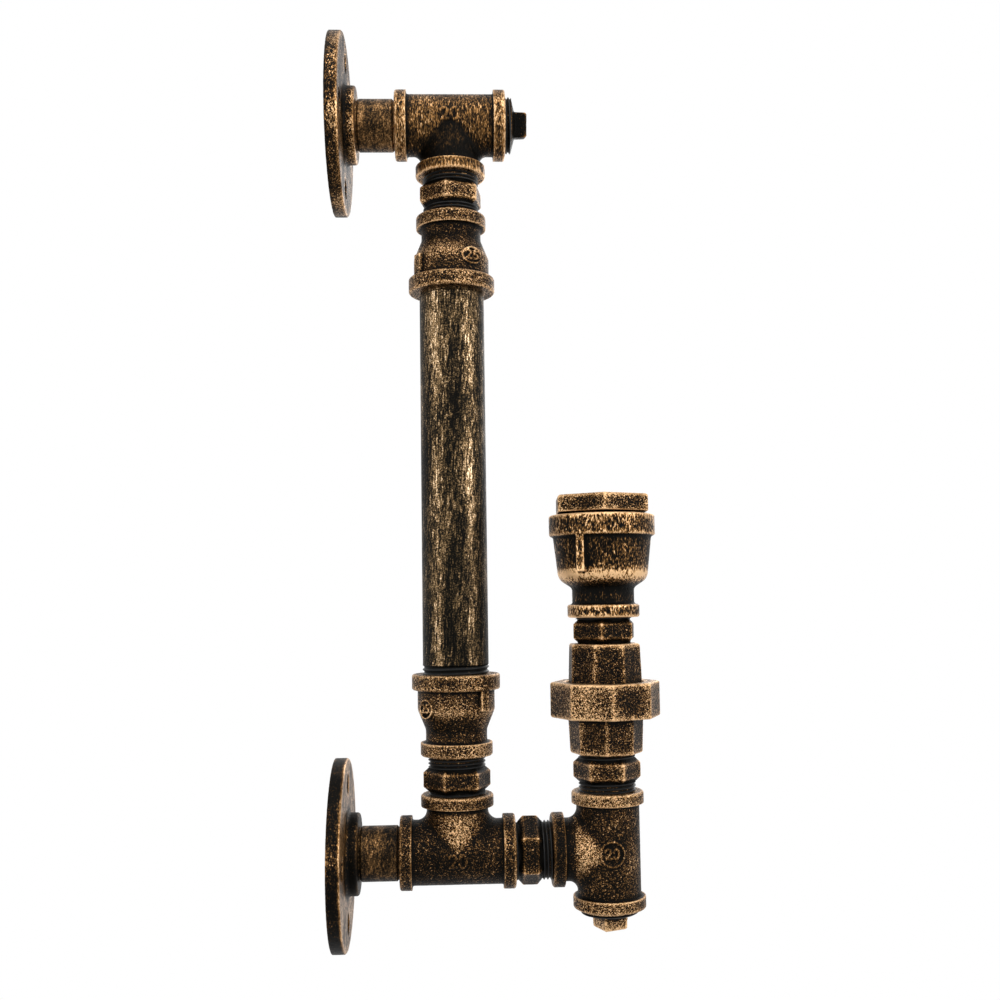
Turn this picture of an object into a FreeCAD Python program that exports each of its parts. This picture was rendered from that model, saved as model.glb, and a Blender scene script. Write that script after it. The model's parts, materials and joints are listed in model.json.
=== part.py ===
import FreeCAD, Part
import math
import os
import re
import Sketcher
from FreeCAD import Rotation, Vector

# Pipe wall light: two wall flanges, a column of threaded pipe fittings between
# them, and an arm that carries an upright lamp cup on a union joint.
# Frame: the wall is the plane X = 0 and X points away from it, Z is up.
# The origin is the middle of the lower flange's back face. Millimetres.

doc = FreeCAD.newDocument("pipe_wall_light")
sheet = doc.addObject("Spreadsheet::Sheet", "Sizes")

# Driving dimensions. A thread is one plain cylinder at its mean diameter, in
# the male and in the female piece, thread_gap apart.
SIZES = [
    ("column_x", 61, "wall to the column's axis"),
    ("arm_reach", 75.4, "column's axis to the lamp's axis"),
    ("tee_rise", 372.8, "lower tee's axis to upper tee's axis"),
    ("thread_gap", 0.1, "radial play between mated threads"),
    ("thread_r", 12.65, "mean radius, 3/4 inch thread"),
    ("thread_large_r", 15.9, "mean radius, 1 inch thread"),
    ("engaged", 11.5, "thread length inside a 3/4 inch fitting"),
    ("engaged_large", 13, "thread length inside a 1 inch fitting"),
    ("mouth_extra", 1.5, "female thread left free past the male end"),
    ("bare_rise", 0.75, "bare thread beside a hexagon above its mean, where the taper is wide"),
    ("over", 1, "how far a cutting outline runs past the solid"),
    ("fitting_wall", 2.45, "mean thread to the clear way through a 3/4 inch fitting"),
    ("edge_bevel", 0.7, "broken edge on the cast collars"),
    ("flange_r", 46.7, "wall flange radius"),
    ("flange_plate", 6.6, "wall flange plate thickness"),
    ("flange_hub_wall", 7.25, "wall of the hub round its thread"),
    ("nipple_from_wall", 0.9, "flange nipple's end from the wall"),
    ("flange_hub_foot", 1.2, "bevel between hub and plate"),
    ("flange_screws", 4, "screw holes in a flange"),
    ("flange_bolt_r", 34, "screw circle radius"),
    ("flange_screw_r", 3.2, "screw hole radius"),
    ("flange_sink_r", 5.6, "countersink radius"),
    ("flange_sink_depth", 2.4, "countersink depth"),
    ("nipple_rise", 0.8, "3/4 inch pipe outside above its mean thread"),
    ("nipple_wall", 1.85, "3/4 inch pipe, mean thread to bore"),
    ("joint_show", 0.6, "bare thread beside a plain pipe's shoulder"),
    ("tee_reach", 28.6, "tee centre to mouth"),
    ("tee_wall", 3.05, "wall of a tee's run round its thread"),
    ("tee_branch_less", 0.5, "tee branch narrower than the run, radius"),
    ("tee_collar_rise", 2.3, "tee collar above the run"),
    ("tee_collar", 6, "tee collar width"),
    ("tee_fillet", 5, "crotch fillet between run and branch"),
    ("hex_depth", 2.1, "hex nipple's flats outside its mean thread"),
    ("hex_tall", 7.1, "hex nipple height of the upright faces"),
    ("hex_slope", 2.4, "hex nipple slope between face and thread, height"),
    ("low_nipple_below", 3.8, "lower hex nipple, bare thread to the tee"),
    ("low_nipple_above", 8, "lower hex nipple, bare thread to the reducer"),
    ("high_nipple_above", 6.8, "upper hex nipple, bare thread to the tee"),
    ("high_nipple_below", 7, "upper hex nipple, bare thread to the reducer"),
    ("riser_nipple_below", 6.9, "riser hex nipple, bare thread to the tee"),
    ("riser_nipple_above", 4.6, "riser hex nipple, bare thread to the union"),
    ("head_nipple_below", 2.8, "head hex nipple, bare thread to the union"),
    ("head_nipple_above", 3.2, "head hex nipple, bare thread to the cup"),
    ("arm_nipple_share", 0.33, "share of the arm's bare thread beside the column"),
    ("reducer_long", 40.5, "reducing socket length"),
    ("reducer_small_rise", 2.7, "small collar above the neck"),
    ("reducer_small", 6.7, "small collar width"),
    ("reducer_wall", 2.6, "wall of the neck round its thread"),
    ("reducer_neck_end", 13, "small end to the start of the shoulder"),
    ("reducer_body_start", 22.8, "small end to the end of the shoulder"),
    ("reducer_large_wall", 3.35, "wall of the large body round its thread"),
    ("reducer_large_rise", 2.8, "large collar above the body"),
    ("reducer_large", 7.8, "large collar width"),
    ("shoulder_round", 5, "rounding of a cast shoulder"),
    ("rib_wide", 4.8, "casting rib width"),
    ("rib_sunk", 0.5, "rib face below the collar"),
    ("pipe_rise", 0.7, "1 inch pipe outside above its mean thread"),
    ("pipe_wall", 2.4, "1 inch pipe, mean thread to bore"),
    ("pipe_show_below", 4, "bare thread at the pipe's lower end"),
    ("pipe_show_above", 1, "bare thread at the pipe's upper end"),
    ("square_flats", 13.2, "plug square across flats"),
    ("square_tall", 6.4, "plug square length"),
    ("plug_show", 3.4, "bare thread on the column plug"),
    ("arm_plug_show", 2.4, "bare thread on the arm plug"),
    ("plug_cone", 1.6, "plug shoulder height under its square"),
    ("plug_cone_r", 7, "plug shoulder radius at its square"),
    ("plug_draft", 2, "draft of the square, degrees"),
    ("plug_wall", 4.15, "mean thread to the cored hollow inside a plug"),
    ("union_long", 54.8, "union overall length"),
    ("union_tail_show", 18, "tail octagon height below the nut"),
    ("union_nut_tall", 17.7, "nut height"),
    ("union_nut_wall", 4.45, "nut's wall round its thread, at the flats"),
    ("union_tail_flats", 33.7, "tail octagon across flats at its foot"),
    ("union_head_flats", 35.9, "head octagon across flats at its collar"),
    ("union_draft", 2.2, "draft of both octagons away from the nut, degrees"),
    ("union_hold", 1.2, "how far the nut's lip reaches over the collar"),
    ("union_lip", 3, "nut lip thickness"),
    ("union_collar", 3.5, "head collar thickness"),
    ("union_lip_play", 0.4, "radial play of the octagon in the lip"),
    ("union_gasket", 1.8, "gasket thickness"),
    ("union_play", 0.1, "axial play of the captive collar"),
    ("union_bevel", 0.7, "broken edge on the union's octagons"),
    ("union_gap", 0.3, "tail octagon short of the nut"),
    ("union_collar_play", 0.2, "radial play of the head's collar in the nut"),
    ("union_seat_bevel", 1, "bevel at the tail's thread ends"),
    ("gasket_in", 1, "gasket bore past the clear way"),
    ("gasket_out", 1.2, "gasket edge inside the thread"),
    ("cup_long", 52, "lamp cup length"),
    ("cup_ring_rise", 2.5, "cup small ring above the neck"),
    ("cup_ring", 6.6, "cup small ring width"),
    ("cup_neck_wall", 3, "wall of the cup's neck round its thread"),
    ("cup_neck_end", 15, "bottom to the start of the shoulder"),
    ("cup_taper", 2.5, "cup narrower at the shoulder than under the collar, radius"),
    ("cup_shoulder_end", 19.4, "bottom to the end of the shoulder"),
    ("cup_round", 6.5, "rounding of the cup's shoulder"),
    ("cup_neck_round", 2.5, "rounding between neck and shoulder"),
    ("cup_rib", 4.2, "cup rib width"),
    ("cup_body_wall", 4.8, "wall of the cup round its thread, under the collar"),
    ("cup_collar_rise", 1.9, "cup collar above the body"),
    ("cup_collar", 10.8, "cup collar width"),
    ("cup_wall", 4, "cup wall"),
    ("cup_seat", 23, "bottom of the cup to the lampholder's seat"),
    ("bushing_depth", 2.5, "bushing's flats outside its mean thread"),
    ("bushing_tall", 8.8, "bushing hexagon height"),
    ("bushing_show", 1.2, "bare thread under the hexagon"),
    ("bushing_engaged", 11.5, "bushing thread inside the cup"),
    ("bushing_wall", 4.6, "bushing, bore to mean thread"),
    ("bushing_bevel", 0.9, "broken edge on the hexagon's top"),
    ("holder_clear", 1.2, "lampholder base inside the cup's mean thread"),
    ("holder_wall", 1.45, "lampholder's wall round the screw shell"),
    ("holder_play", 0.4, "radial play of the lampholder's neck in the bushing"),
    ("holder_below_rim", 7, "lampholder neck end under the bushing's rim"),
    ("socket_r", 13.3, "screw shell bore radius, E27 lamp cap"),
    ("socket_deep", 22, "screw shell length"),
    ("shell_wall", 0.4, "screw shell wall"),
    ("shell_play", 0.05, "play round the screw shell"),
    ("shell_lip", 3, "width of the shell's inward lip at its foot"),
    ("contact_well", 3.5, "depth of the contact's well under the shell"),
    ("lead_r", 3.3, "supply lead radius"),
    ("lead_in", 1, "supply lead's end from the wall"),
    ("lead_clear", 2, "supply lead's bend clear of the arm tee's inner corner"),
    ("lead_gap", 0.2, "gap where the lead passes a turning joint"),
    ("lead_sunk", 3, "lead end inside the lampholder's base"),
    ("lead_play", 0.05, "radial play of the lead in the base"),
    ("holder_bevel", 0.4, "broken edge on the lampholder's neck"),
    ("screw_out", 3.2, "terminal screws' axis outside the contact's well"),
    ("screw_r", 1.5, "terminal screw radius"),
    ("screw_long", 5, "terminal screw shank length"),
    ("screw_head_r", 2.8, "terminal screw head radius"),
    ("screw_head", 2, "terminal screw head height"),
    ("screw_well", 3, "depth of the base's well for a head"),
    ("screw_play", 0.1, "play round a terminal screw"),
    ("leaf_wide", 5, "centre contact width"),
    ("leaf_thick", 0.5, "centre contact thickness"),
    ("leaf_root", 4.7, "leaf's bend from the axis"),
    ("leaf_flat", 1.5, "start of the leaf's flat end past the axis"),
    ("leaf_tip", 4, "leaf's tip past the axis"),
    ("leaf_rise", 1.9, "leaf's rise from its bend to its flat end"),
    ("leaf_clear", 0.3, "leaf clear of the socket's floor at its bend"),
    ("leaf_gap", 0.3, "leaf clear of its fixed tab"),
    ("tab_long", 4, "fixed tab's far end from the leaf's bend"),
]

# Places that follow from the sizes.
PLACES = [
    ("arm_x", "=column_x + arm_reach"),
    ("mouth_r", "=thread_r + thread_gap"),
    ("bare_r", "=thread_r + bare_rise"),
    ("way_r", "=thread_r - fitting_wall"),
    ("hex_flats", "=2 * (thread_r + hex_depth)"),
    ("plug_bore_r", "=thread_r - plug_wall"),
    ("nipple_r", "=thread_r + nipple_rise"),
    ("nipple_bore_r", "=thread_r - nipple_wall"),
    ("pipe_r", "=thread_large_r + pipe_rise"),
    ("pipe_bore_r", "=thread_large_r - pipe_wall"),
    ("flange_hub_r", "=mouth_r + flange_hub_wall"),
    ("flange_hub_top", "=nipple_from_wall + engaged"),
    ("tee_body_r", "=mouth_r + tee_wall"),
    ("tee_branch_r", "=tee_body_r - tee_branch_less"),
    ("tee_collar_r", "=tee_body_r + tee_collar_rise"),
    ("reducer_neck_r", "=mouth_r + reducer_wall"),
    ("reducer_small_r", "=reducer_neck_r + reducer_small_rise"),
    ("large_mouth_r", "=thread_large_r + thread_gap"),
    ("reducer_body_r", "=large_mouth_r + reducer_large_wall"),
    ("reducer_large_r", "=reducer_body_r + reducer_large_rise"),
    ("lead_bend", "=(way_r * sqrt(2) - lead_r - lead_clear) / (sqrt(2) - 1)"),
    ("lip_bore_r", "=union_head_flats / 2 / cos(22.5) + union_lip_play"),
    ("union_collar_r", "=lip_bore_r + union_hold"),
    ("union_thread_r", "=union_collar_r + union_collar_play"),
    ("union_nut_flats", "=2 * (union_thread_r + thread_gap + union_nut_wall)"),
    ("well_r", "=socket_r - shell_lip"),
    ("shell_space_r", "=socket_r + shell_wall + shell_play"),
    ("holder_neck_r", "=shell_space_r + holder_wall"),
    ("bushing_bore_r", "=holder_neck_r + holder_play"),
    ("thread_cup_r", "=bushing_bore_r + bushing_wall"),
    ("bushing_flats", "=2 * (thread_cup_r + bushing_depth)"),
    ("holder_base_r", "=thread_cup_r - holder_clear"),
    ("screw_spread", "=well_r + screw_out"),
    ("cup_mouth_r", "=thread_cup_r + thread_gap"),
    ("cup_neck_r", "=mouth_r + cup_neck_wall"),
    ("cup_ring_r", "=cup_neck_r + cup_ring_rise"),
    ("cup_body_r", "=cup_mouth_r + cup_body_wall"),
    ("cup_collar_r", "=cup_body_r + cup_collar_rise"),
    ("cup_shoulder_r", "=cup_body_r - cup_taper"),
    ("mouth_deep", "=engaged + mouth_extra"),
    ("low_reducer_z", "=tee_reach + low_nipple_below + hex_tall + low_nipple_above"),
    ("pipe_z", "=low_reducer_z + reducer_long"),
    ("high_reducer_z", "=tee_rise - tee_reach - high_nipple_above - hex_tall - high_nipple_below"),
    ("pipe_top_z", "=high_reducer_z - reducer_long"),
    ("arm_bare", "=arm_reach - 2 * tee_reach - hex_tall"),
    ("arm_nipple_in", "=arm_bare * arm_nipple_share"),
    ("arm_nipple_out", "=arm_bare - arm_nipple_in"),
    ("union_z", "=tee_reach + riser_nipple_below + hex_tall + riser_nipple_above"),
    ("nut_z", "=union_z + union_tail_show"),
    ("nut_top_z", "=nut_z + union_nut_tall"),
    ("lip_z", "=nut_top_z - union_lip"),
    ("collar_z", "=lip_z - union_play - union_collar"),
    ("tail_seat_z", "=collar_z - union_gasket"),
    ("head_nipple_z", "=union_z + union_long"),
    ("cup_z", "=head_nipple_z + head_nipple_below + hex_tall + head_nipple_above"),
    ("cup_top_z", "=cup_z + cup_long"),
    ("bushing_top_z", "=cup_top_z + bushing_show + bushing_tall"),
    ("bushing_low_z", "=cup_top_z - bushing_engaged"),
    ("holder_z", "=cup_z + cup_seat"),
    ("holder_top_z", "=bushing_top_z - holder_below_rim"),
    ("shell_z", "=holder_top_z - socket_deep"),
    ("socket_floor_z", "=shell_z - contact_well"),
]

for row, entry in enumerate(SIZES + PLACES, start=1):
    sheet.set(f"A{row}", entry[0])
    sheet.set(f"B{row}", str(entry[1]))
    sheet.setAlias(f"B{row}", entry[0])
    if len(entry) > 2:
        sheet.set(f"C{row}", entry[2])
doc.recompute()

ALIASES = {entry[0] for entry in SIZES + PLACES}
NODES = []


def bound(text):
    """The expression as another object reads it, each alias with its sheet."""
    name = r"[a-z][a-z_]*"
    return re.sub(name, lambda m: f"Sizes.{m.group()}" if m.group() in ALIASES else m.group(), text)


def number(text):
    """What an expression comes to with the sheet's present sizes."""
    return float(sheet.evalExpression(bound(text)))


def bind(item, **expressions):
    for key, text in expressions.items():
        item.setExpression(key.replace("__", "."), bound(text))


def place(item, at, turn):
    """Puts a finished piece at three expressions, turned about its origin."""
    item.Placement = FreeCAD.Placement(Vector(), turn)
    for axis, text in zip("xyz", at):
        item.setExpression(f"Placement.Base.{axis}", bound(text))


class Piece:
    """One body: a chain of features on sketches that the sheet drives."""

    def __init__(self, name, at=("0", "0", "0"), turn=Rotation()):
        self.body = doc.addObject("PartDesign::Body", name)
        self.body.Label = name
        place(self.body, at, turn)
        NODES.append(self.body)

    def sketch(self, corners, plane="XZ_Plane", lift="0"):
        """A closed outline through corners, each a pair of expressions."""
        sketch = self.body.newObject("Sketcher::SketchObject", "outline")
        origin = self.body.Origin.OriginFeatures
        sketch.AttachmentSupport = [(next(item for item in origin if item.Role == plane), "")]
        sketch.MapMode = "FlatFace"
        sketch.setExpression("AttachmentOffset.Base.z", bound(lift))
        points = [Vector(number(across), number(up), 0) for across, up in corners]
        count = len(points)
        for index in range(count):
            sketch.addGeometry(Part.LineSegment(points[index], points[(index + 1) % count]), False)
        for index in range(count):
            sketch.addConstraint(Sketcher.Constraint("Coincident", index, 2, (index + 1) % count, 1))
        for index, corner in enumerate(corners):
            for kind, text in zip(("DistanceX", "DistanceY"), corner):
                here = number(text)
                row = sketch.addConstraint(Sketcher.Constraint(kind, -1, 1, index, 1, here))
                sketch.setExpression(f"Constraints[{row}]", bound(text))
        return sketch

    def feature(self, kind, name, profile=None):
        item = self.body.newObject(f"PartDesign::{kind}", name)
        if profile:
            item.Profile = profile
            profile.Visibility = False
        return item

    def turned(self, corners, cut=False, axis="V_Axis"):
        """A full turn of an outline about the piece's own Z, or its X."""
        profile = self.sketch(corners)
        item = self.feature("Groove" if cut else "Revolution", "turning", profile)
        item.ReferenceAxis = (profile, [axis])
        item.Angle = 360
        doc.recompute()
        return item

    def circle(self, radius, plane="XY_Plane"):
        """A circle about the piece's origin."""
        sketch = self.body.newObject("Sketcher::SketchObject", "round")
        origin = self.body.Origin.OriginFeatures
        sketch.AttachmentSupport = [(next(item for item in origin if item.Role == plane), "")]
        sketch.MapMode = "FlatFace"
        sketch.addGeometry(Part.Circle(Vector(), Vector(0, 0, 1), number(radius)), False)
        sketch.addConstraint(Sketcher.Constraint("Coincident", 0, 3, -1, 1))
        row = sketch.addConstraint(Sketcher.Constraint("Radius", 0, number(radius)))
        sketch.setExpression(f"Constraints[{row}]", bound(radius))
        return sketch

    def rod(self, radius, length):
        """A plain round rod up from z = 0."""
        item = self.feature("Pad", "rod", self.circle(radius))
        bind(item, Length=length)
        doc.recompute()
        return item

    def around(self, profile, kind, count):
        """An outline turned about its own last side, then repeated round the piece's Z."""
        item = self.feature(kind, "single", profile)
        item.ReferenceAxis = (profile, [f"Edge{profile.GeometryCount}"])
        item.Angle = 360
        doc.recompute()
        pattern = self.feature("PolarPattern", "repeats")
        pattern.Originals = [item]
        pattern.Axis = (profile, ["V_Axis"])
        pattern.Occurrences = count
        self.body.Tip = pattern
        doc.recompute()
        return pattern

    def padded(self, corners, length, lift="0", taper="0", plane="XY_Plane"):
        """An outline on one of the piece's planes, drawn out from it."""
        item = self.feature("Pad", "pad", self.sketch(corners, plane, lift))
        bind(item, Length=length, TaperAngle=taper)
        doc.recompute()
        return item

    def dressed(self, kind, size, wanted):
        """A fillet or chamfer on the edges that the test wants."""
        edges = self.body.Tip.Shape.Edges
        names = [f"Edge{index}" for index, edge in enumerate(edges, start=1) if wanted(edge)]
        if not names:
            raise ValueError(f"{self.body.Label}: no edge for the {kind}")
        before = self.body.Tip
        item = self.feature(kind, "dress")
        item.Base = (before, names)
        bind(item, **{"Radius" if kind == "Fillet" else "Size": size})
        doc.recompute()
        return item

    def bored(self, radius, low, high):
        """A round way along Z."""
        return self.turned([("0", low), (radius, low), (radius, high), ("0", high)], cut=True)


def polygon(sides, flats, start):
    """Corners of a regular outline, by its size across flats."""
    outer = f"({flats}) / 2 / cos({180 / sides})"
    angles = [start + 360 * index / sides for index in range(sides)]
    return [(f"{outer} * cos({angle})", f"{outer} * sin({angle})") for angle in angles]


def ring(radius, height, axis=2):
    """Picks the circular edge of this radius at this height on the piece's own axis."""
    def wanted(edge):
        curve = edge.Curve
        if curve.TypeId != "Part::GeomCircle" or abs(abs(curve.Axis[axis]) - 1) > 1e-6:
            return False
        return abs(curve.Radius - number(radius)) < 1e-3 and abs(curve.Center[axis] - number(height)) < 1e-3
    return wanted


def any_of(*tests):
    return lambda edge: any(test(edge) for test in tests)


ALONG_X = Rotation(Vector(0, 1, 0), 90)
UPSIDE_DOWN = Rotation(Vector(1, 0, 0), 180)


# How far each piece is screwed round its own axis, in degrees.
SCREWED = {
    "lower_hex_nipple": 8, "upper_hex_nipple": 21, "arm_hex_nipple": 0, "riser_hex_nipple": -7,
    "head_hex_nipple": 19, "lower_reducer": -48, "upper_reducer": -36, "upper_tee_plug": 17,
    "arm_tee_plug": -23, "union_tail": 39, "union_nut": 1, "union_head": 23, "lamp_cup": 58,
    "lamp_bushing": 27,
}


def screwed(name):
    return Rotation(Vector(0, 0, 1), SCREWED[name])


def make_flange(name, height):
    """Cast floor flange, its back face against the wall."""
    flange = Piece(name, ("0", "0", height), ALONG_X)
    flange.turned([
        ("0", "0"), ("flange_r", "0"), ("flange_r", "flange_plate"),
        ("flange_hub_r", "flange_plate"), ("flange_hub_r", "flange_hub_top"),
        ("0", "flange_hub_top"),
    ])
    flange.dressed("Chamfer", "flange_hub_foot", ring("flange_hub_r", "flange_plate"))
    flange.dressed("Chamfer", "edge_bevel", any_of(
        ring("flange_r", "flange_plate"), ring("flange_hub_r", "flange_hub_top")))
    flange.bored("mouth_r", "0", "flange_hub_top")
    sink = "flange_plate - flange_sink_depth"
    hole = flange.sketch([
        ("flange_bolt_r", "-over"), ("flange_bolt_r + flange_screw_r", "-over"),
        ("flange_bolt_r + flange_screw_r", sink), ("flange_bolt_r + flange_sink_r", "flange_plate"),
        ("flange_bolt_r", "flange_plate"),
    ])
    flange.around(hole, "Groove", int(number("flange_screws")))
    return flange


def make_pipe(name, at, turn, sizes):
    """Straight pipe from z = 0, both ends cut down to their thread."""
    pipe = Piece(name, at, turn)
    outer, thread, bore, total, low, high = sizes
    pipe.turned([
        (bore, "0"), (thread, "0"), (thread, low), (outer, f"{low} + {outer} - {thread}"),
        (outer, f"{total} - ({high}) - {outer} + {thread}"), (thread, f"{total} - ({high})"),
        (thread, total), (bore, total),
    ])
    return pipe


def make_tee(name, at, turn):
    """Equal tee: the run along the piece's Z, the branch along its X."""
    tee = Piece(name, at, turn)
    inner = "tee_reach - tee_collar"
    tee.turned([
        ("0", "-tee_reach"), ("tee_collar_r", "-tee_reach"), ("tee_collar_r", f"-({inner})"),
        ("tee_body_r", f"-({inner})"), ("tee_body_r", inner), ("tee_collar_r", inner),
        ("tee_collar_r", "tee_reach"), ("0", "tee_reach"),
    ])
    tee.turned([
        ("0", "0"), ("0", "tee_branch_r"), (inner, "tee_branch_r"), (inner, "tee_collar_r"),
        ("tee_reach", "tee_collar_r"), ("tee_reach", "0"),
    ], axis="H_Axis")
    tee.dressed("Fillet", "tee_fillet", lambda edge: edge.Curve.TypeId not in (
        "Part::GeomCircle", "Part::GeomLine"))
    tee.dressed("Chamfer", "edge_bevel", any_of(
        ring("tee_collar_r", "tee_reach"), ring("tee_collar_r", "-tee_reach"),
        ring("tee_collar_r", "tee_reach", 0)))
    tee.bored("way_r", "-tee_reach", "tee_reach")
    tee.bored("mouth_r", "-tee_reach", "mouth_deep - tee_reach")
    tee.bored("mouth_r", "tee_reach - mouth_deep", "tee_reach")
    start = "tee_reach - mouth_deep"
    tee.turned([
        ("0", "0"), ("0", "way_r"), (start, "way_r"), (start, "mouth_r"),
        ("tee_reach", "mouth_r"), ("tee_reach", "0"),
    ], cut=True, axis="H_Axis")
    return tee


def make_hex_nipple(name, at, turn, below, above):
    """Hexagon with sloped shoulders, its faces from z = 0 up, a male thread each side."""
    nipple = Piece(name, at, turn)
    nipple.padded(polygon(6, "hex_flats", 0), "hex_tall + 2 * hex_slope", lift="-hex_slope")
    ends = (-number("hex_slope"), number("hex_tall + hex_slope"))
    nipple.dressed("Chamfer", "hex_slope", lambda edge: any(all(
        abs(corner.Point.z - end) < 0.01 for corner in edge.Vertexes) for end in ends))
    low = f"-({below}) - engaged"
    high = f"hex_tall + {above} + engaged"
    nipple.turned([
        ("0", low), ("thread_r", low), ("thread_r", f"-({below})"), ("bare_r", f"-({below})"),
        ("bare_r", f"hex_tall + {above}"), ("thread_r", f"hex_tall + {above}"),
        ("thread_r", high), ("0", high),
    ])
    nipple.bored("way_r", low, high)
    return nipple


def make_plug(name, at, turn, show):
    """Square-headed plug: its thread goes down from z = 0, the square stands above."""
    plug = Piece(name, at, turn)
    shoulder = f"{show} + plug_cone"
    plug.turned([
        ("0", "-engaged"), ("thread_r", "-engaged"), ("thread_r", "0"), ("bare_r", "0"),
        ("bare_r", show), ("plug_cone_r", shoulder), ("0", shoulder),
    ])
    plug.padded(polygon(4, "square_flats", 45), f"{shoulder} + square_tall", taper="-plug_draft")
    top = number(f"{shoulder} + square_tall")
    plug.dressed("Chamfer", "edge_bevel", lambda edge: all(
        abs(corner.Point.z - top) < 0.01 for corner in edge.Vertexes))
    plug.bored("plug_bore_r", "-engaged", "0")
    return plug


def make_reducer(name, at, turn):
    """Reducing socket from its small mouth at z = 0 up to its large one."""
    socket = Piece(name, at, turn)
    collar = "reducer_long - reducer_large"
    socket.turned([
        ("0", "0"), ("reducer_small_r", "0"), ("reducer_small_r", "reducer_small"),
        ("reducer_neck_r", "reducer_small"), ("reducer_neck_r", "reducer_neck_end"),
        ("reducer_body_r", "reducer_body_start"), ("reducer_body_r", collar),
        ("reducer_large_r", collar), ("reducer_large_r", "reducer_long"), ("0", "reducer_long"),
    ])
    socket.dressed("Fillet", "shoulder_round", any_of(
        ring("reducer_neck_r", "reducer_neck_end"), ring("reducer_body_r", "reducer_body_start")))
    socket.dressed("Chamfer", "edge_bevel", any_of(
        ring("reducer_small_r", "0"), ring("reducer_large_r", "reducer_long"),
        ring("reducer_large_r", collar)))
    face = "reducer_large_r - rib_sunk"
    for side in ("", "-"):
        reach = f"{side}({face})"
        socket.padded([("0", "-rib_wide / 2"), (reach, "-rib_wide / 2"),
                       (reach, "rib_wide / 2"), ("0", "rib_wide / 2")],
                      f"{collar} - reducer_body_start + over", lift="reducer_body_start")
    socket.bored("way_r", "0", "reducer_long")
    socket.bored("mouth_r", "0", "mouth_deep")
    seat = "reducer_long - engaged_large - mouth_extra"
    socket.turned([
        ("0", "mouth_deep"), ("way_r", "mouth_deep"), ("pipe_bore_r", seat), ("large_mouth_r", seat),
        ("large_mouth_r", "reducer_long"), ("0", "reducer_long"),
    ], cut=True)
    return socket


for flange_name, flange_height in (("lower_flange", "0"), ("upper_flange", "tee_rise")):
    make_flange(flange_name, flange_height)

flange_nipple = (
    "nipple_r", "thread_r", "nipple_bore_r",
    "column_x - tee_reach + engaged - nipple_from_wall",
    "engaged + joint_show", "engaged + joint_show",
)
make_pipe("lower_flange_nipple", ("nipple_from_wall", "0", "0"), ALONG_X, flange_nipple)
make_pipe("upper_flange_nipple", ("nipple_from_wall", "0", "tee_rise"), ALONG_X, flange_nipple)

RUN_ACROSS_BRANCH_UP = Rotation(Vector(1, 0, 1), 180)
BRANCH_BACK = Rotation(Vector(0, 0, 1), 180)
make_tee("lower_tee", ("column_x", "0", "0"), RUN_ACROSS_BRANCH_UP)
make_tee("upper_tee", ("column_x", "0", "tee_rise"), ALONG_X)
make_tee("arm_tee", ("arm_x", "0", "0"), BRANCH_BACK)

make_plug("upper_tee_plug", ("column_x + tee_reach", "0", "tee_rise"),
          ALONG_X * screwed("upper_tee_plug"), "plug_show")
make_plug("arm_tee_plug", ("arm_x", "0", "-tee_reach"),
          UPSIDE_DOWN * screwed("arm_tee_plug"), "arm_plug_show")

make_hex_nipple("lower_hex_nipple", ("column_x", "0", "tee_reach + low_nipple_below"),
                screwed("lower_hex_nipple"), "low_nipple_below", "low_nipple_above")
make_hex_nipple("upper_hex_nipple",
                ("column_x", "0", "tee_rise - tee_reach - high_nipple_above - hex_tall"),
                screwed("upper_hex_nipple"), "high_nipple_below", "high_nipple_above")
make_hex_nipple("arm_hex_nipple", ("column_x + tee_reach + arm_nipple_in", "0", "0"),
                ALONG_X * screwed("arm_hex_nipple"), "arm_nipple_in", "arm_nipple_out")
make_hex_nipple("riser_hex_nipple", ("arm_x", "0", "tee_reach + riser_nipple_below"),
                screwed("riser_hex_nipple"), "riser_nipple_below", "riser_nipple_above")
make_hex_nipple("head_hex_nipple", ("arm_x", "0", "head_nipple_z + head_nipple_below"),
                screwed("head_hex_nipple"), "head_nipple_below", "head_nipple_above")

make_reducer("lower_reducer", ("column_x", "0", "low_reducer_z"), screwed("lower_reducer"))
make_reducer("upper_reducer", ("column_x", "0", "high_reducer_z"),
             UPSIDE_DOWN * screwed("upper_reducer"))

make_pipe("main_pipe", ("column_x", "0", "pipe_z - engaged_large"), Rotation(), (
    "pipe_r", "thread_large_r", "pipe_bore_r",
    "pipe_top_z - pipe_z + 2 * engaged_large",
    "engaged_large + pipe_show_below", "engaged_large + pipe_show_above",
))


def make_union_tail():
    """Lower half of the union: an octagon, then the thread that the nut runs on."""
    tail = Piece("union_tail", ("arm_x", "0", "union_z"), screwed("union_tail"))
    octagon = "union_tail_show - union_gap"
    tail.padded(polygon(8, "union_tail_flats", 0), octagon, taper="union_draft")
    tail.dressed("Chamfer", "union_bevel", lambda edge: all(
        abs(corner.Point.z) < 0.01 for corner in edge.Vertexes))
    seat = "tail_seat_z - union_z"
    inner = "union_thread_r - union_seat_bevel"
    tail.turned([
        ("0", octagon), (inner, octagon), ("union_thread_r", f"{octagon} + union_seat_bevel"),
        ("union_thread_r", f"{seat} - union_seat_bevel"), (inner, seat), ("0", seat),
    ])
    tail.bored("way_r", "0", seat)
    tail.bored("mouth_r", "0", "mouth_deep")
    return tail


def make_union_nut():
    """Octagon nut, its lip over the head's collar."""
    nut = Piece("union_nut", ("arm_x", "0", "nut_z"), screwed("union_nut"))
    nut.padded(polygon(8, "union_nut_flats", 0), "union_nut_tall")
    rims = (0, number("union_nut_tall"))
    nut.dressed("Chamfer", "union_bevel", lambda edge: any(all(
        abs(corner.Point.z - rim) < 0.01 for corner in edge.Vertexes) for rim in rims))
    nut.bored("union_thread_r + thread_gap", "0", "lip_z - nut_z")
    nut.bored("lip_bore_r", "0", "union_nut_tall")
    return nut


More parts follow.
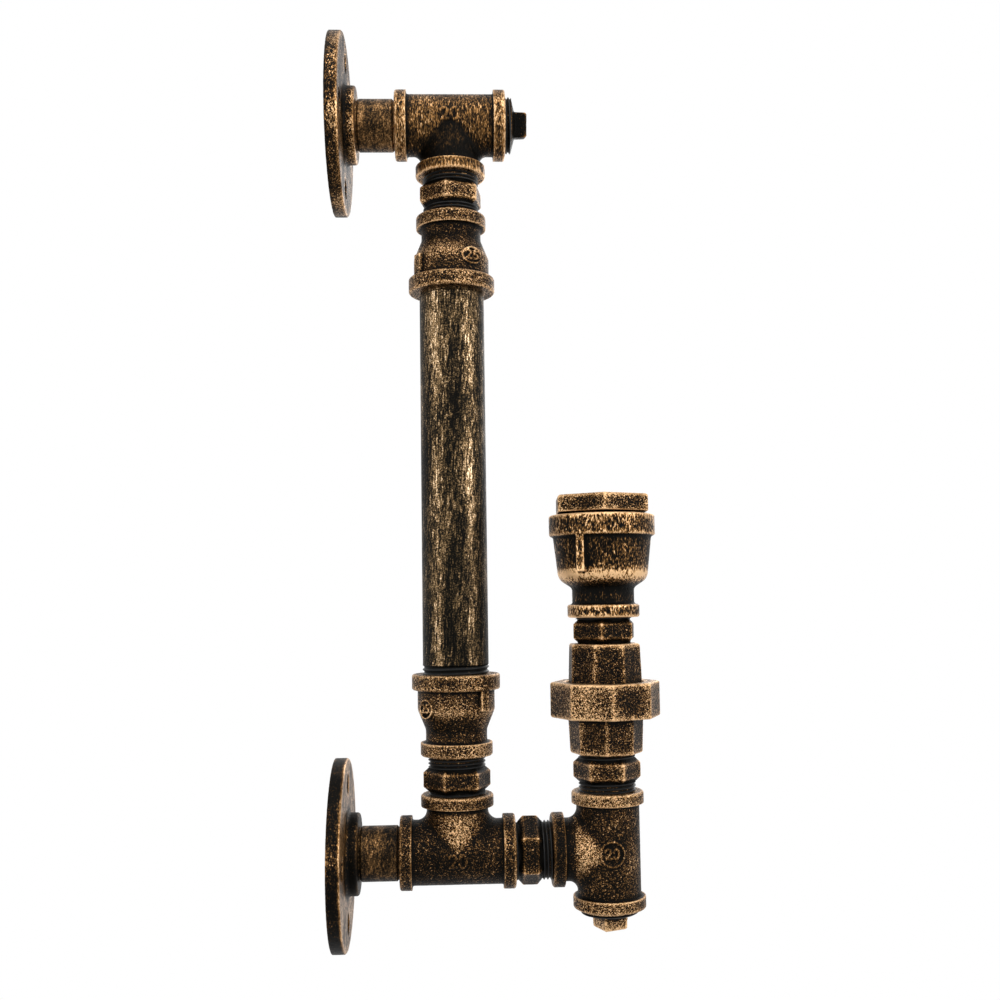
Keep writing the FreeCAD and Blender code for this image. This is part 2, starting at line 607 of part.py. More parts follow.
def make_union_head():
    """Upper half of the union: the captive collar, then a drafted octagon."""
    head = Piece("union_head", ("arm_x", "0", "collar_z"), screwed("union_head"))
    top = "head_nipple_z - collar_z"
    head.turned([("0", "0"), ("union_collar_r", "0"), ("union_collar_r", "union_collar"),
                 ("0", "union_collar")])
    head.padded(polygon(8, "union_head_flats", 0), f"{top} - union_collar",
                lift="union_collar", taper="-union_draft")
    height = number(top)
    head.dressed("Chamfer", "union_bevel", lambda edge: all(
        abs(corner.Point.z - height) < 0.01 for corner in edge.Vertexes))
    head.bored("way_r", "0", top)
    head.bored("mouth_r", f"{top} - mouth_deep", top)
    return head


make_union_tail()
make_union_nut()
make_union_head()

gasket = Piece("union_gasket", ("arm_x", "0", "tail_seat_z"))
gasket.turned([("way_r + gasket_in", "0"), ("union_thread_r - gasket_out", "0"),
               ("union_thread_r - gasket_out", "union_gasket"), ("way_r + gasket_in", "union_gasket")])


def make_cup():
    """Lamp cup: a reducing socket, wide mouth up, with the lampholder's seat inside."""
    cup = Piece("lamp_cup", ("arm_x", "0", "cup_z"), screwed("lamp_cup"))
    collar = "cup_long - cup_collar"
    cup.turned([
        ("0", "0"), ("cup_ring_r", "0"), ("cup_ring_r", "cup_ring"), ("cup_neck_r", "cup_ring"),
        ("cup_neck_r", "cup_neck_end"), ("cup_shoulder_r", "cup_shoulder_end"),
        ("cup_body_r", collar), ("cup_collar_r", collar), ("cup_collar_r", "cup_long"),
        ("0", "cup_long"),
    ])
    cup.dressed("Fillet", "cup_round", ring("cup_shoulder_r", "cup_shoulder_end"))
    cup.dressed("Fillet", "cup_neck_round", ring("cup_neck_r", "cup_neck_end"))
    cup.dressed("Chamfer", "edge_bevel", any_of(
        ring("cup_ring_r", "0"), ring("cup_ring_r", "cup_ring"),
        ring("cup_collar_r", collar), ring("cup_collar_r", "cup_long")))
    face = "cup_collar_r - rib_sunk"
    for side in ("", "-"):
        reach = f"{side}({face})"
        cup.padded([("0", "-cup_rib / 2"), (reach, "-cup_rib / 2"),
                    (reach, "cup_rib / 2"), ("0", "cup_rib / 2")],
                   f"{collar} - cup_seat + over", lift="cup_seat")
    cup.turned([
        ("0", "mouth_deep"), ("way_r", "mouth_deep"), ("cup_neck_r - cup_wall", "cup_neck_end"),
        ("cup_shoulder_r - cup_wall", "cup_seat"), ("cup_mouth_r", "cup_seat"),
        ("cup_mouth_r", "cup_long"), ("0", "cup_long"),
    ], cut=True)
    cup.bored("mouth_r", "0", "mouth_deep")
    return cup


def make_bushing():
    """Hexagon bushing that closes the cup and holds the lampholder down."""
    bushing = Piece("lamp_bushing", ("arm_x", "0", "cup_top_z"), screwed("lamp_bushing"))
    top = "bushing_show + bushing_tall"
    bushing.padded(polygon(6, "bushing_flats", 0), "bushing_tall", lift="bushing_show")
    rim = number(top)
    bushing.dressed("Chamfer", "bushing_bevel", lambda edge: all(
        abs(corner.Point.z - rim) < 0.01 for corner in edge.Vertexes))
    bushing.turned([("0", "-bushing_engaged"), ("thread_cup_r", "-bushing_engaged"),
                    ("thread_cup_r", "bushing_show"), ("0", "bushing_show")])
    bushing.bored("bushing_bore_r", "-bushing_engaged", top)
    return bushing


def make_lampholder():
    """Insulating body: a broad base under the bushing and a neck up its bore."""
    holder = Piece("lampholder_body", ("arm_x", "0", "holder_z"))
    step = "bushing_low_z - holder_z"
    top = "holder_top_z - holder_z"
    ledge = "shell_z - holder_z"
    floor = "socket_floor_z - holder_z"
    holder.turned([
        ("0", "0"), ("holder_base_r", "0"), ("holder_base_r", step), ("holder_neck_r", step),
        ("holder_neck_r", top), ("shell_space_r", top), ("shell_space_r", ledge), ("well_r", ledge),
        ("well_r", floor), ("0", floor),
    ])
    holder.dressed("Chamfer", "holder_bevel", ring("holder_neck_r", top))
    holder.bored("lead_r + lead_play", "0", "lead_sunk")
    head = "screw_spread + screw_head_r + screw_play"
    shank = "screw_spread + screw_r + screw_play"
    deep = "screw_well + screw_long + screw_play"
    hole = holder.sketch([("screw_spread", "-over"), (head, "-over"), (head, "screw_well"),
                          (shank, "screw_well"), (shank, deep), ("screw_spread", deep)])
    holder.around(hole, "Groove", 2)
    return holder


def make_terminal_screws():
    """The two screws that clamp the lead's cores, heads down in the base's wells."""
    screws = Piece("terminal_screws", ("arm_x", "0", "holder_z + screw_well"))
    screws.body.AllowCompound = True
    screw = screws.sketch([
        ("screw_spread", "-screw_head"), ("screw_spread + screw_head_r", "-screw_head"),
        ("screw_spread + screw_head_r", "0"), ("screw_spread + screw_r", "0"),
        ("screw_spread + screw_r", "screw_long"), ("screw_spread", "screw_long"),
    ])
    screws.around(screw, "Revolution", 2)
    return screws


def make_contact():
    """The lamp's centre contact: a riveted brass tab and the sprung leaf beside it."""
    low = "socket_floor_z"
    tab = Piece("contact_tab", ("arm_x", "0", low))
    tab.padded([("-leaf_root - tab_long", "0"), ("-leaf_root - leaf_gap", "0"),
                ("-leaf_root - leaf_gap", "leaf_thick"), ("-leaf_root - tab_long", "leaf_thick")],
               "leaf_wide", lift="-leaf_wide / 2", plane="XZ_Plane")
    leaf = Piece("centre_contact", ("arm_x", "0", low))
    rise = "leaf_clear"
    leaf.padded([("-leaf_root", rise), ("leaf_flat", f"{rise} + leaf_rise"),
                 ("leaf_tip", f"{rise} + leaf_rise"),
                 ("leaf_tip", f"{rise} + leaf_rise + leaf_thick"),
                 ("leaf_flat", f"{rise} + leaf_rise + leaf_thick"),
                 ("-leaf_root", f"{rise} + leaf_thick")],
                "leaf_wide", lift="-leaf_wide / 2", plane="XZ_Plane")
    return tab, leaf


def make_leads():
    """The supply lead inside the pipes, parted where the arm and the head turn."""
    wall = Piece("supply_lead_wall", ("lead_in", "0", "0"), ALONG_X)
    wall.rod("lead_r", "column_x + tee_reach - lead_in")
    arm = Piece("supply_lead_arm", ("column_x + tee_reach + lead_gap", "0", "0"))
    spine = arm.body.newObject("Sketcher::SketchObject", "spine")
    origin = arm.body.Origin.OriginFeatures
    spine.AttachmentSupport = [(next(item for item in origin if item.Role == "XZ_Plane"), "")]
    spine.MapMode = "FlatFace"
    across, bend = "arm_reach - tee_reach - lead_gap", "lead_bend"
    turn_x, end_x, top = number(f"{across} - {bend}"), number(across), number("tail_seat_z")
    radius = number(bend)
    corner = Vector(turn_x, radius, 0)
    arc = Part.ArcOfCircle(Part.Circle(corner, Vector(0, 0, 1), radius), -math.pi / 2, 0)
    spine.addGeometry(Part.LineSegment(Vector(0, 0, 0), Vector(turn_x, 0, 0)), False)
    spine.addGeometry(arc, False)
    spine.addGeometry(Part.LineSegment(Vector(end_x, radius, 0), Vector(end_x, top, 0)), False)
    for rule in (("Coincident", 0, 1, -1, 1), ("Tangent", 0, 2, 1, 1), ("Tangent", 1, 2, 2, 1),
                 ("Horizontal", 0), ("Vertical", 2)):
        spine.addConstraint(Sketcher.Constraint(*rule))
    for rule, text in ((("Radius", 1), bend), (("DistanceX", -1, 1, 2, 2), across),
                       (("DistanceY", -1, 1, 2, 2), "tail_seat_z")):
        row = spine.addConstraint(Sketcher.Constraint(*rule, number(text)))
        spine.setExpression(f"Constraints[{row}]", bound(text))
    section = arm.circle("lead_r", "YZ_Plane")
    pipe = arm.feature("AdditivePipe", "sheath", section)
    pipe.Spine = (spine, [])
    spine.Visibility = False
    doc.recompute()
    head = Piece("supply_lead_head", ("arm_x", "0", "tail_seat_z + lead_gap"))
    head.rod("lead_r", "holder_z + lead_sunk - tail_seat_z - lead_gap")
    return wall, arm, head


make_cup()
make_bushing()
make_lampholder()
make_terminal_screws()
make_contact()
make_leads()

shell = Piece("lampholder_shell", ("arm_x", "0", "shell_z"))
shell.turned([
    ("well_r", "0"), ("socket_r + shell_wall", "0"), ("socket_r + shell_wall", "socket_deep"),
    ("socket_r", "socket_deep"), ("socket_r", "shell_wall"), ("well_r", "shell_wall"),
])

doc.recompute()
for node in NODES:
    for item in [node] + node.Group:
        if "Invalid" in item.State or "Error" in item.State:
            raise ValueError(f"{node.Label}: {item.Label} {item.State}")
    if node.Shape.isNull() or not node.Shape.isValid():
        raise ValueError(f"{node.Label}: its shape is null or not valid")

os.makedirs("parts", exist_ok=True)
for node in NODES:
    node.Shape.exportStep(f"parts/{node.Label}.step")
    print(node.Label, len(node.Shape.Solids), round(node.Shape.Volume))
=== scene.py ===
import json
import math

import bmesh
import bpy
import numpy as np
from mathutils import Matrix, Vector, noise

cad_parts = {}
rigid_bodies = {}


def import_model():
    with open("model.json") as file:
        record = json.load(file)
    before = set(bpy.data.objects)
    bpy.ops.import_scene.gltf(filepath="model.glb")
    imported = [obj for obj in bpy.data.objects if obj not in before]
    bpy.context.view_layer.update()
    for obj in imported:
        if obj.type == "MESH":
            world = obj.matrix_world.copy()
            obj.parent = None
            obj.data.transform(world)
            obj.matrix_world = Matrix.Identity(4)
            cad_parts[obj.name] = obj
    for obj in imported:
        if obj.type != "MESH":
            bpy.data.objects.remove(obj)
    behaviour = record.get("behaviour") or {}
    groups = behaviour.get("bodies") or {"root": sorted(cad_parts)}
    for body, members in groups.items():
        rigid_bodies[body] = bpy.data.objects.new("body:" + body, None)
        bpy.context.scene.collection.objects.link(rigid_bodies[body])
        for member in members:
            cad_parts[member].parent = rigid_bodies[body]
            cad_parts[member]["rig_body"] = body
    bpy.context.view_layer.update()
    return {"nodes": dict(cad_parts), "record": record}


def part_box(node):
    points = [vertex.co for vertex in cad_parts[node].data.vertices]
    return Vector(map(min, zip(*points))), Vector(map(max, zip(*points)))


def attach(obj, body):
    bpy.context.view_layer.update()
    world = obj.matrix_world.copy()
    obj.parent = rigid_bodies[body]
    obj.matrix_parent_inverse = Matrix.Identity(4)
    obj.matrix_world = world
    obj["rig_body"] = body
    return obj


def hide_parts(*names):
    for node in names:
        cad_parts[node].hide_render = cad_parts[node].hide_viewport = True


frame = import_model()

MM = 0.001
UP = Vector((0, 0, 1))
FRONT = Vector((0, -1, 0))
LEFT = Vector((-1, 0, 0))

# Places read from the frame, in metres: the middles of the lower tee under the column, of the arm's
# tee and of the upper tee, and the small ends of the two reducing sockets.
COLUMN_X = sum(corner.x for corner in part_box("main_pipe")) / 2
ARM_X = sum(corner.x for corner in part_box("union_gasket")) / 2
UPPER_Z = sum(corner.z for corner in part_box("upper_flange")) / 2
COLUMN = Vector((COLUMN_X, 0, 0))
ARM = Vector((ARM_X, 0, 0))
TOP = Vector((COLUMN_X, 0, UPPER_Z))
SMALL_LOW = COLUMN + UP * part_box("lower_reducer")[0].z
SMALL_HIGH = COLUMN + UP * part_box("upper_reducer")[1].z

# The camera, fitted to the photograph.
LENS = 42.4
SENSOR = 36
EYE = Vector((COLUMN_X - 0.25 * MM, -0.6, 125.5 * MM))
PITCH = 0.0832
YAW = -0.0396
ROLL = -0.0146

# The floor, the distances from its middle between which it fades into the white around it, how
# much of it is that white in the middle, and how strongly the surroundings light the object.
FLOOR_Z = -0.6
FLOOR_SIZE = 2.4
FLOOR_GREY = (0.8, 0.8, 0.8)
FADE = (0.3, 1.15)
WHITE_SHARE = 0.8
AROUND = 0.3

# Each lamp's name, place, size and power, and the place they are all aimed at.
LAMPS = (
    ("key", (1.25, -0.7, 0.5), 0.7, 7),
    ("front", (0.0, -1.4, 0.7), 0.9, 4),
    ("top", (0.1, -0.55, 1.3), 0.8, 5),
    ("fill", (-1.25, -0.7, 0.4), 0.7, 5),
    ("back", (0.5, 0.9, 0.5), 0.6, 2))
AIM = Vector((0.08, 0, 0.19))

# The size of a casting's faces, smaller where a number is cast on.
SKIN = 0.54 * MM
FINER_SKINS = {"upper_tee": 0.44 * MM, "lower_tee": 0.44 * MM, "arm_tee": 0.44 * MM,
               "upper_reducer": 0.4 * MM, "lower_reducer": 0.4 * MM}

# A casting's roughness: its height, its width, and the shift from one casting's to the next one's.
ROUGH_HEIGHT = 0.05 * MM
ROUGH_WIDTH = 1.6 * MM
ROUGH_SHIFT = Vector((7.3, 3.1, 5.7))

# How far a casting stands out, near by and broadly: the attribute's name, the rounds of smoothing
# that it is counted from, and the height that counts as 1, with the most that is told either way.
STANDING_OUT = (("edge", 7, 0.3 * MM), ("raised", 75, 1.2 * MM))
MOST_OUT = 1.5

# Cast-on numbers: how far the figures and the rim reach in and out, the rim's width, and how tall
# and how much bolder a figure is as shares of the font's size and of its own height.
MARK_DEPTH = 1 * MM
RIM_WIDTH = 0.7 * MM
FIGURE_SHARE = 0.7
BOLDER = 0.02

# Bare threads: the radius of the CAD's plain cylinder, the radius of the crests, and the pitch.
FITTING_THREAD = (13.4 * MM, 14.3 * MM, 1.81 * MM)
PIPE_THREAD = (15.9 * MM, 16.7 * MM, 2.31 * MM)
SHORTEST_THREAD = 0.5 * MM
SHARP = math.radians(35)

# How deep a number or a thread's crest is sunk in what it stands on, the steps of a full turn, and
# how near two corners of a CAD node's surface are where they are one.
SUNK = 0.3 * MM
STEPS = 64
WELD = 0.002 * MM

# The radii past which a nipple is its hexagon, a plug its thread, and the main pipe unthreaded.
HEXAGON_FROM = 13.6 * MM
PLUG_THREAD_FROM = 13.2 * MM
PLAIN_PIPE_FROM = 16.4 * MM

# The union head's captive collar: its top and middle above the head's foot, the radius it starts
# at, and how far it is drawn in all round and at its two faces.
COLLAR_TOP = 4 * MM
COLLAR_MIDDLE = 1.7 * MM
COLLAR_FROM = 12 * MM
DRAWN_ROUND = 0.15 * MM
DRAWN_FACES = 0.12 * MM

# The lampholder's screw shell: the thread's pitch, how far its crests stay inside the CAD's tube,
# half the thread's depth, the wall, the share of the foot's width that its lip leaves open, the
# steps of the mesh, how near the corners along its seam are, and a height just over the foot.
SHELL_PITCH = 3.63 * MM
SHELL_INSET = 0.45 * MM
SHELL_ROLL = 0.42 * MM
SHELL_WALL = 0.3 * MM
SHELL_LIP = 0.8
SHELL_ROUND, SHELL_UP = 96, 110
SHELL_WELD = 0.01 * MM
FOOT_BELOW = 1 * MM

# Where a casting keeps more or less copper, as wear and in a few spots as painted highlights and
# painted shade: the spreads that take in a whole fitting, flange or hexagon, and how thick the
# flange's face and the hexagon's end are.
WHOLE_FITTING = 60 * MM
WHOLE_FLANGE = 90 * MM
WHOLE_HEXAGON = 40 * MM
FACE_THICK = 1.2 * MM
END_THICK = 1.1 * MM
# A fitting's front, in front of its axis, and the depth of a spot there.
FRONT_AT = 16 * MM
FRONT_DEPTH = 12 * MM
# Over what length a branch's share begins at the slant and ends at its mouth.
SLANT_FADE = 2.5 * MM
MOUTH_FADE = 1 * MM


def column_of(items, name, width=3, kind=float):
    """One property of all a mesh's items as an array."""
    values = np.empty(len(items) * width, dtype=kind)
    items.foreach_get(name, values)
    return values.reshape(-1, width)


def reach(node, axis, centre, radius):
    """The lowest and highest place along an axis where a node is wider than a radius."""
    spots = column_of(frame["nodes"][node].data.vertices, "co") - np.array(centre)
    across = np.delete(spots, axis, 1)
    along = spots[np.hypot(across[:, 0], across[:, 1]) > radius, axis]
    return centre[axis] + along.min(), centre[axis] + along.max()


# Where the main pipe's bare lower thread ends.
PIPE_BARE = reach("main_pipe", 2, COLUMN, PLAIN_PIPE_FROM)[0]


def set_camera():
    """The photograph's own view."""
    camera = bpy.data.objects.new("camera", bpy.data.cameras.new("camera"))
    bpy.context.scene.collection.objects.link(camera)
    camera.data.lens = LENS
    camera.data.sensor_width = SENSOR
    camera.data.clip_start = 0.01
    camera.data.clip_end = 50
    turn = Matrix.Rotation(YAW, 4, "Z") @ Matrix.Rotation(math.pi / 2 + PITCH, 4, "X")
    camera.matrix_world = Matrix.Translation(EYE) @ turn @ Matrix.Rotation(ROLL, 4, "Z")
    bpy.context.scene.camera = camera


class Wire:
    """A shader socket with arithmetic: each sum, difference or product adds its Math node."""

    def __init__(self, nodes, socket):
        self.nodes = nodes
        self.socket = socket

    def _math(self, operation, *values):
        return self.nodes.node("Math", {"operation": operation}, dict(enumerate(values)))

    def __add__(self, other):
        return self._math("ADD", self, other)

    def __sub__(self, other):
        return self._math("SUBTRACT", self, other)

    def __mul__(self, other):
        return self._math("MULTIPLY", self, other)

    def __rsub__(self, other):
        return self._math("SUBTRACT", other, self)

    __radd__ = __add__
    __rmul__ = __mul__

    def abs(self):
        return self._math("ABSOLUTE", self)

    def clamp(self):
        return self.nodes.node("Clamp", {}, {"Value": self})

    def step(self, low, high):
        """0 at low, 1 at high, with a smooth change between them and none beyond."""
        return self.nodes.node("MapRange", {"interpolation_type": "SMOOTHSTEP"}, {
            "Value": self, "From Min": low, "From Max": high, "To Min": 0, "To Max": 1})


class Nodes:
    """A node tree in the making."""

    def __init__(self, tree):
        self.tree = tree

    def node(self, kind, settings, inputs, output=0):
        """Adds a node, its settings first, then the values or wires of its sockets."""
        made = self.tree.nodes.new("ShaderNode" + kind)
        for key, value in settings.items():
            setattr(made, key, value)
        for key, value in inputs.items():
            self.feed(made.inputs[key], value)
        return Wire(self, made.outputs[output])

    def feed(self, socket, value):
        """Gives a socket its wire or its value; a colour of three parts is made opaque."""
        if isinstance(value, Wire):
            self.tree.links.new(value.socket, socket)
        elif isinstance(value, tuple) and len(value) == 3 and len(socket.default_value) == 4:
            socket.default_value = (*value, 1)
        else:
            socket.default_value = value

    def seen(self):
        """1 for the rays that look at the surroundings, 0 for those that light things by them."""
        camera, glossy, through = (self.node("LightPath", {}, {}, f"Is {kind} Ray")
                                   for kind in ("Camera", "Glossy", "Transmission"))
        return (camera + glossy + through).clamp()


class Finish(Nodes):
    """A material in the making."""

    def __init__(self, name):
        self.material = bpy.data.materials.new(name)
        self.material.use_nodes = True
        super().__init__(self.material.node_tree)
        self.shader = self.tree.nodes["Principled BSDF"]
        self.place = self.node("TexCoord", {}, {}, "Object")

    def along(self, axis):
        """The place along X, Y or Z, in metres."""
        return self.node("SeparateXYZ", {}, {"Vector": self.place}, axis)

    def attribute(self, name):
        return self.node("Attribute", {"attribute_name": name}, {}, "Fac")

    def noise(self, scale, detail, roughness=0.6, stretch=(1, 1, 1), distortion=0, lean=0):
        """Noise of scale times stretch bumps to a metre along each axis, leaning about Y."""
        spot = self.node("Mapping", {"vector_type": "TEXTURE"}, {
            "Vector": self.place, "Rotation": (0, lean, 0)})
        spot = self.node("Mapping", {}, {"Vector": spot, "Scale": stretch})
        return self.node("TexNoise", {}, {
            "Vector": spot, "Scale": scale, "Detail": detail,
            "Roughness": roughness, "Distortion": distortion}, "Fac")

    def blend(self, amount, first, second):
        """The colour first where amount is 0, second where it is 1."""
        return self.node("Mix", {"data_type": "RGBA"}, {0: amount, 6: first, 7: second}, 2)

    def bump(self, height, distance):
        return self.node("Bump", {}, {"Height": height, "Distance": distance}, "Normal")

    def put(self, **sockets):
        """Feeds the shader's own sockets, named with _ for a space, and gives the material."""
        for key, value in sockets.items():
            self.feed(self.shader.inputs[key.replace("_", " ")], value)
        return self.material


def srgb(*parts):
    """A colour given by its 0 to 255 screen values, made linear."""
    scaled = [part / 255 for part in parts]
    return tuple(v / 12.92 if v <= 0.04045 else ((v + 0.055) / 1.055) ** 2.4 for v in scaled)


# From black paint, through what is left of it, to bare copper: on the castings, the main pipe and
# the two flange nipples.
CAST_TONES = (
    srgb(6, 5, 3), srgb(40, 29, 17), srgb(93, 67, 37), srgb(157, 112, 64), srgb(236, 194, 145))
PIPE_TONES = (
    srgb(8, 7, 4), srgb(42, 35, 23), srgb(90, 72, 48), srgb(146, 118, 84), srgb(230, 202, 166))
NIPPLE_TONES = (
    srgb(7, 6, 4), srgb(41, 31, 19), srgb(92, 68, 41), srgb(152, 113, 72), srgb(233, 198, 155))


def rubbed(finish, tone, tones):
    """Black paint where tone is 0, rubbed through to bright copper where it is 1."""
    colour = tones[0]
    for place, shade in enumerate(tones[1:]):
        colour = finish.blend((tone * (len(tones) - 1) - place).clamp(), colour, shade)
    metal = tone.step(0.15, 0.7)
    finish.put(Base_Color=colour, Metallic=metal * 0.8, Roughness=0.44 - metal * 0.1,
               Specular_IOR_Level=0.05)


def cast_finish(name, stretch=(1, 1, 1), contrast=1.0, edging=0.6, patchy=0.5,
                relief=0.3 * MM, fine=1.0):
    """Grainy casting: copper on what stands out, black in the hollows.

    The specks are longer where stretch is less, stronger with more contrast and smaller with more
    fine. edging is how much copper an edge gets, worn copper made brighter still as a painted
    highlight, patchy how far the whole comes and goes, and relief the height of the grain."""
    finish = Finish(name)
    worm = finish.noise(1300 * fine, 2, 0.55, stretch, distortion=1.0)
    grain = finish.noise(2600 * fine, 1, 0.5, stretch)
    broad = finish.noise(70, 3, 0.5)
    edge = finish.attribute("edge")
    level = (broad - 0.5) * patchy + finish.attribute("raised") * 0.4 + finish.attribute("wear_and_painted_light")
    speck = (worm - 0.5) * (6.6 * contrast) + (grain - 0.5) * (4.6 * contrast)
    # The specks show most where paint and copper are even, and less in plain black, on bright
    # copper, along an edge and on the spots given more copper, the worn ones and the painted
    # highlights alike.
    unevenness = 0.5 + level.clamp() * 0.9 - (level - 0.75).clamp() * 2.2
    unevenness = unevenness * (1 - edge.clamp() * 0.75)
    unevenness = unevenness * (1 - finish.attribute("calm").clamp() * 0.6)
    # An edge's copper is partly wear and partly a painted highlight, brightened by edging.
    rubbed(finish, speck * unevenness + level + edge * edging, CAST_TONES)
    return finish.put(Normal=finish.bump(worm + grain * 0.5, relief))


def streaked_finish(name, tones, level, stretch, contrast, middle=None):
    """Brushed pipe: copper dragged over black in short streaks, a little brighter high up.

    level is how much copper there is, stretch the streaks to a metre along each axis. With middle,
    the place along X of an upright pipe's axis, there is a painted highlight, a brighter band on
    each side of it, and the bare thread below is black."""
    finish = Finish(name)
    worm = finish.noise(1, 2, 0.6, stretch, distortion=0.5, lean=0.05)
    grain = finish.noise(1500, 1, 0.5)
    broad = finish.noise(1, 2, 0.5, tuple(part * 0.13 for part in stretch), lean=0.05)
    height = finish.along("Z")
    tone = ((worm - 0.5) * (3.0 * contrast) + (grain - 0.5) * (2.2 * contrast) + (broad - 0.5) * 1.1
            + height.step(150 * MM, 330 * MM) * 0.14 + level)
    if middle is not None:
        aside = (finish.along("X") - middle).abs()
        # Painted highlights: copper is raised in a band on each side of the pipe's axis, where
        # light streaks down a round pipe.
        tone = tone + (aside - 8 * MM).abs().step(7.5 * MM, 0) * 0.3
        tone = tone - height.step(PIPE_BARE, PIPE_BARE - 0.8 * MM) * 2
    rubbed(finish, tone, tones)
    return finish.put(Normal=finish.bump(worm * 0.6 + grain * 0.6, 0.25 * MM))


def thread_finish():
    """Black bare thread, worn brown in places."""
    finish = Finish("thread_black")
    wear = finish.noise(700, 3)
    colour = finish.blend(wear.step(0.6, 0.75), srgb(20, 21, 21), srgb(88, 72, 52))
    return finish.put(Base_Color=colour, Roughness=0.34 + wear * 0.2, Specular_IOR_Level=0.25)


def plain_finish(name, colour, rough, metal):
    """A plain made surface with a slight unevenness."""
    finish = Finish(name)
    uneven = finish.noise(500, 3)
    darker = tuple(part * 0.72 for part in colour)
    return finish.put(Base_Color=finish.blend(uneven.step(0.3, 0.7), colour, darker),
                      Roughness=rough + uneven * 0.1, Metallic=metal,
                      Normal=finish.bump(uneven, 0.03 * MM))


def mesh_of(shape, name):
    """A bmesh as a mesh; the bmesh is given up."""
    mesh = bpy.data.meshes.new(name)
    shape.to_mesh(mesh)
    shape.free()
    return mesh


def settled(holder):
    """The mesh that an object comes to, with its modifiers or its text; the object is given up."""
    bpy.context.scene.collection.objects.link(holder)
    graph = bpy.context.evaluated_depsgraph_get()
    mesh = bpy.data.meshes.new_from_object(holder.evaluated_get(graph))
    bpy.data.objects.remove(holder)
    return mesh


def new_piece(name, mesh, material, node):
    """A piece that moves with a CAD node and has this material."""
    body = frame["nodes"][node]["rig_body"]
    slot = next(part["material_slot"] for part in frame["record"]["subparts"]
                if part["node"] == node)
    piece = bpy.data.objects.new(name, mesh)
    bpy.context.scene.collection.objects.link(piece)
    mesh.materials.clear()
    mesh.materials.append(material)
    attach(piece, body)
    return piece


def smoothed(points, edges, rounds):
    """The points after so many rounds of moving each to its neighbours' mean."""
    count = len(points)
    first, second = edges[:, 0], edges[:, 1]
    neighbours = np.bincount(first, minlength=count) + np.bincount(second, minlength=count)
    for _ in range(rounds):
        total = np.empty_like(points)
        for axis in range(3):
            line = points[:, axis]
            total[:, axis] = (np.bincount(first, line[second], count)
                              + np.bincount(second, line[first], count))
        points = total / neighbours[:, None]
    return points


def finish_skin(mesh, level, places, seed):
    """Tells a casting's finish how far each point stands out, how much copper it keeps from wear
    and from a few painted highlights and painted shade, and where that copper is even, then
    roughens the skin."""
    points = column_of(mesh.vertices, "co")
    normals = column_of(mesh.vertices, "normal")
    edges = column_of(mesh.edges, "vertices", 2, np.int64)
    told = {}
    for name, rounds, scale in STANDING_OUT:
        out = ((points - smoothed(points, edges, rounds)) * normals).sum(1) / scale
        told[name] = np.clip(out, -MOST_OUT, MOST_OUT)
    told["wear_and_painted_light"] = np.full(len(points), level)
    told["calm"] = np.zeros(len(points))
    # Most places are wear; the few marked in CASTINGS are painted highlights and painted shade.
    for share, amount in places:
        told["wear_and_painted_light"] += amount * share(points)
        told["calm"] += max(amount, 0) * share(points)
    for name, values in told.items():
        attribute = mesh.attributes.new(name, "FLOAT", "POINT")
        attribute.data.foreach_set("value", values.astype(np.float32))
    shift = ROUGH_SHIFT * seed
    lift = [noise.noise(spot) + 0.5 * noise.noise(spot * 2.3)
            for spot in (Vector(point) / ROUGH_WIDTH + shift for point in points)]
    points += normals * (np.array(lift) * ROUGH_HEIGHT)[:, None]
    mesh.vertices.foreach_set("co", points.ravel())
    mesh.update()


def welded_copy(node):
    """A bmesh of a CAD node's surface with its doubled corners merged."""
    shape = bmesh.new()
    shape.from_mesh(frame["nodes"][node].data)
    bmesh.ops.remove_doubles(shape, verts=shape.verts, dist=WELD)
    return shape


def remeshed(shape, name, size):
    """A shape as one even skin of small faces of this size."""
    mesh = mesh_of(shape, name)
    carrier = bpy.data.objects.new(name + "_carrier", mesh)
    skin = carrier.modifiers.new("skin", "REMESH")
    skin.mode = "VOXEL"
    skin.voxel_size = size
    result = settled(carrier)
    result.name = name
    bpy.data.meshes.remove(mesh)
    result.shade_smooth()
    return result


def casting(node, material, level, places, reshape, seed):
    """A CAD node as a sand casting, with soft edges and a rough skin.

    level is how much copper it keeps, places where it is more or less, and reshape what is done to
    its shape first."""
    shape = welded_copy(node)
    if reshape:
        reshape(shape)
    mesh = remeshed(shape, node + "_cast", FINER_SKINS.get(node, SKIN))
    finish_skin(mesh, level, places, seed)
    piece = new_piece(node + "_cast", mesh, material, node)
    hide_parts(node)


def band(shape, inner, outer, low, high):
    """Adds a closed ring of square section about Z."""
    corners = [shape.verts.new((across, 0, up)) for across, up in (
        (inner, low), (outer, low), (outer, high), (inner, high))]
    bmesh.ops.spin(shape, geom=[shape.faces.new(corners)], cent=(0, 0, 0), axis=(0, 0, 1),
                   angle=2 * math.pi, steps=STEPS, use_merge=True)


